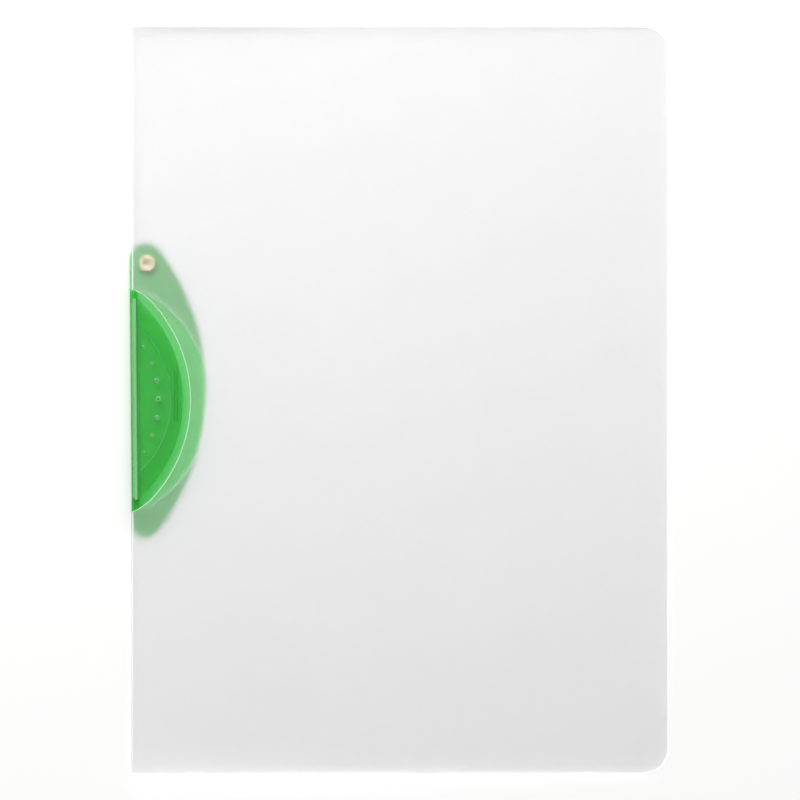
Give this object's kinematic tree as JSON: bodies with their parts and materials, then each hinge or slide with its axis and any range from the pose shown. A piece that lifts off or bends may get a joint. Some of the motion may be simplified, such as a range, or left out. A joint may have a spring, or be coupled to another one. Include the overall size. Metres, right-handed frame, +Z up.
{
  "type": "clip folder",
  "caption": "Flat folder of frosted plastic sheet for loose A4 pages, with half moons cut out at the spine and a green translucent plastic clip that swings out of the spine about an eyelet.",
  "frame": {"origin": "under the middle of the closed folder, on the surface it lies on", "axes": "+X across the page from the spine to the free edge, +Y up the page, +Z up out of the front cover"},
  "size_m": [0.2239, 0.31, 0.0045],
  "materials": {
    "frosted_sheet": "milky translucent polypropylene sheet with a fine matt grain on both sides",
    "green_plastic": "translucent green injection-moulded plastic, satin gloss",
    "eyelet_brass": "pale polished brass"
  },
  "bodies": {
    "back": {"back_cover": "frosted_sheet", "upper_spine": "frosted_sheet", "lower_spine": "frosted_sheet", "pivot_eyelet": "eyelet_brass"},
    "front": {"front_cover": "frosted_sheet"},
    "clip": {"swing_clip": "green_plastic"}
  },
  "joints": [
    {"name": "cover_hinge", "type": "hinge", "parent": "back", "child": "front", "pos_m": [-0.11035, 0, 0.0045], "axis": [0, -1, 0], "range_deg": [0, 180]},
    {"name": "clip_swing", "type": "hinge", "parent": "back", "child": "clip", "pos_m": [-0.10451, 0.057, 0], "axis": [0, 0, -1], "range_deg": [0, 105]}
  ]
}
